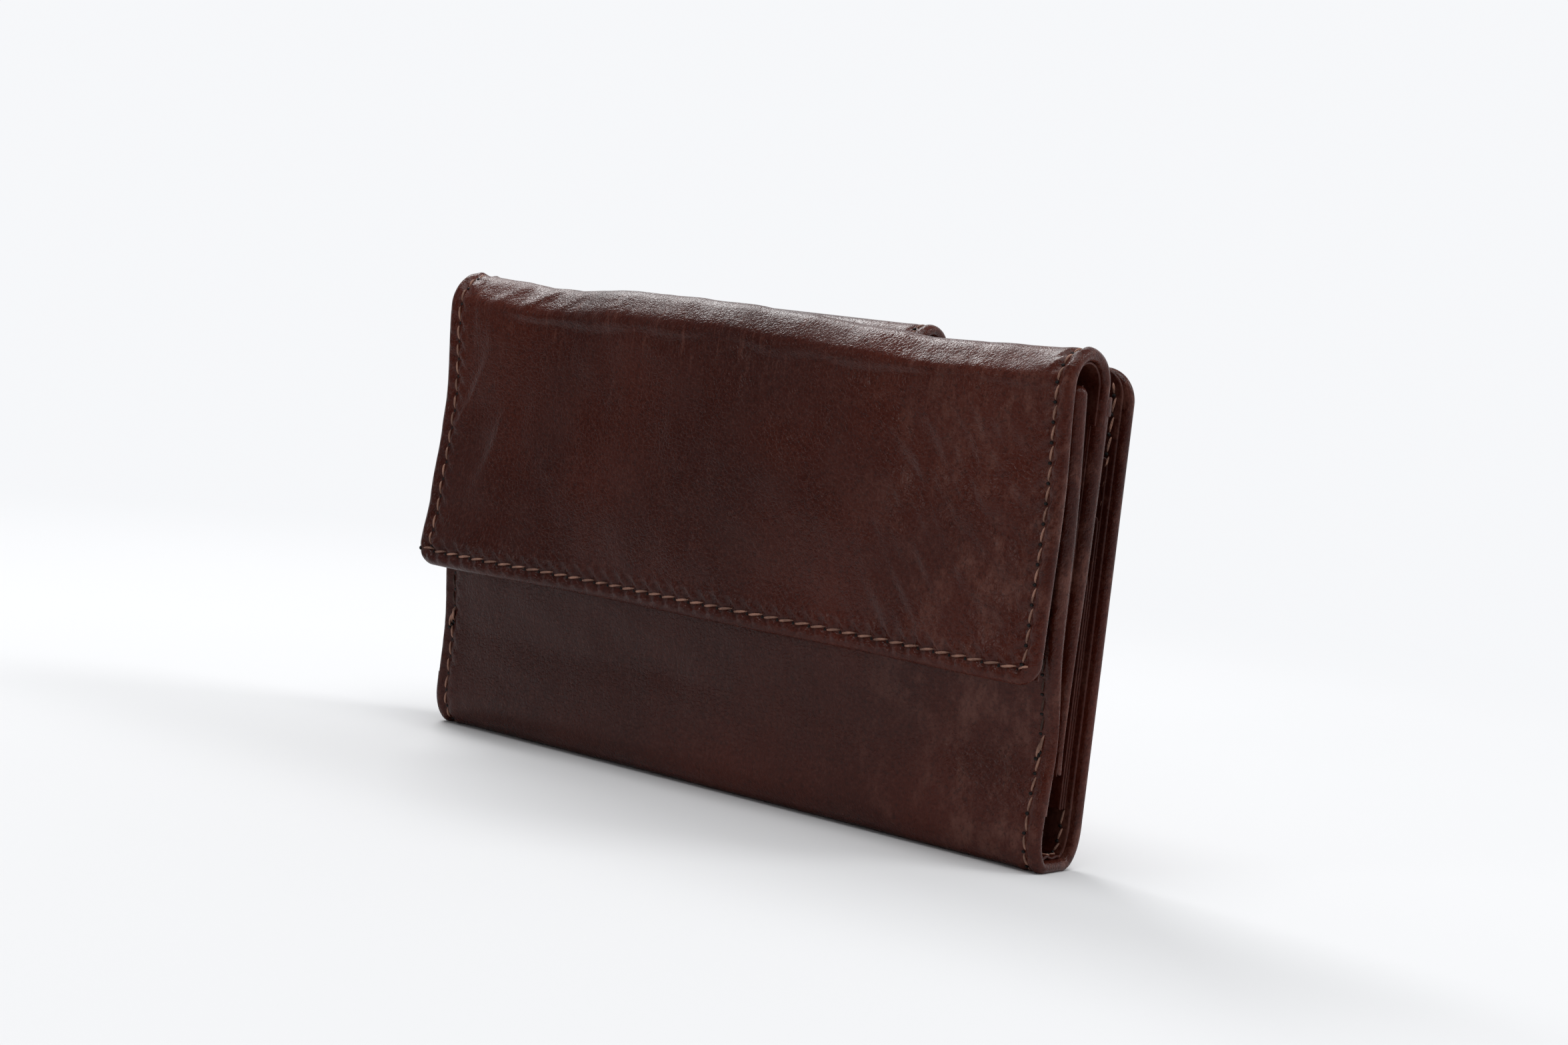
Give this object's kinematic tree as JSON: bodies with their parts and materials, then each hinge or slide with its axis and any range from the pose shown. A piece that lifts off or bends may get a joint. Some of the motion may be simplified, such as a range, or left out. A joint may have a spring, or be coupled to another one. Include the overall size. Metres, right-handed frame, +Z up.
{
  "type": "trifold wallet",
  "caption": "Leather trifold wallet standing on its bottom fold, with a front flap over a gusseted compartment, card slots inside and a snap tab.",
  "frame": {"origin": "middle of the flat stretch under the bottom fold, where the standing wallet touches the surface", "axes": "+X along the wallet to its right end seen from the flap side, +Y towards the back panel, +Z up towards the flap's top fold"},
  "size_m": [0.17, 0.029, 0.106],
  "materials": {
    "leather": "smooth dark burgundy leather, satin, fine grain",
    "lining": "dark wine lining",
    "board": "stiffener board, sealed inside",
    "snap_brass": "antique brass press stud",
    "window_film": "clear window film"
  },
  "bodies": {
    "compartment": {"front_base_leather": "leather", "front_base_board": "board", "front_base_lining": "lining", "bottom_fold_leather": "leather", "bottom_fold_lining": "lining", "compartment_welt": "leather", "middle_wall_leather": "leather", "middle_wall_board": "board", "middle_wall_lining": "lining", "middle_backing": "lining", "middle_top_band": "leather", "note_pocket": "leather", "receipt_pocket": "leather", "tab_snap_stud": "snap_brass", "gusset_left": "leather", "gusset_right": "leather", "flap_fold_leather": "leather", "flap_fold_lining": "lining"},
    "front_panel": {"front_panel_leather": "leather", "front_panel_board": "board", "front_panel_lining": "lining", "front_snap_stud": "snap_brass"},
    "flap": {"flap_leather": "leather", "flap_board": "board", "flap_lining": "lining", "flap_snap_socket": "snap_brass"},
    "back_panel": {"back_panel_leather": "leather", "back_panel_board": "board", "back_panel_lining": "lining", "card_slot_1": "leather", "card_slot_2": "leather", "card_slot_3": "leather", "window_film": "window_film", "window_frame": "leather", "closure_tab": "leather", "tab_snap_socket": "snap_brass"}
  },
  "joints": [
    {"name": "back_fold", "type": "hinge", "parent": "compartment", "child": "back_panel", "pos_m": [0, 0, 0.0085], "axis": [-1, 0, 0], "range_deg": [0, 180], "deforming": ["bottom_fold_leather", "bottom_fold_lining"]},
    {"name": "flap_fold", "type": "hinge", "parent": "compartment", "child": "flap", "pos_m": [0, -0.00905, 0.0975], "axis": [-1, 0, 0], "range_deg": [0, 180], "deforming": ["flap_fold_leather", "flap_fold_lining"]},
    {"name": "front_seam", "type": "hinge", "parent": "compartment", "child": "front_panel", "pos_m": [0, -0.0085, 0.025], "axis": [1, 0, 0], "range_deg": [0, 7.2], "deforming": ["gusset_left", "gusset_right"]}
  ],
  "couplings": [
    {"joint": "front_seam", "follows": "flap_fold", "ratio": 0.04}
  ]
}
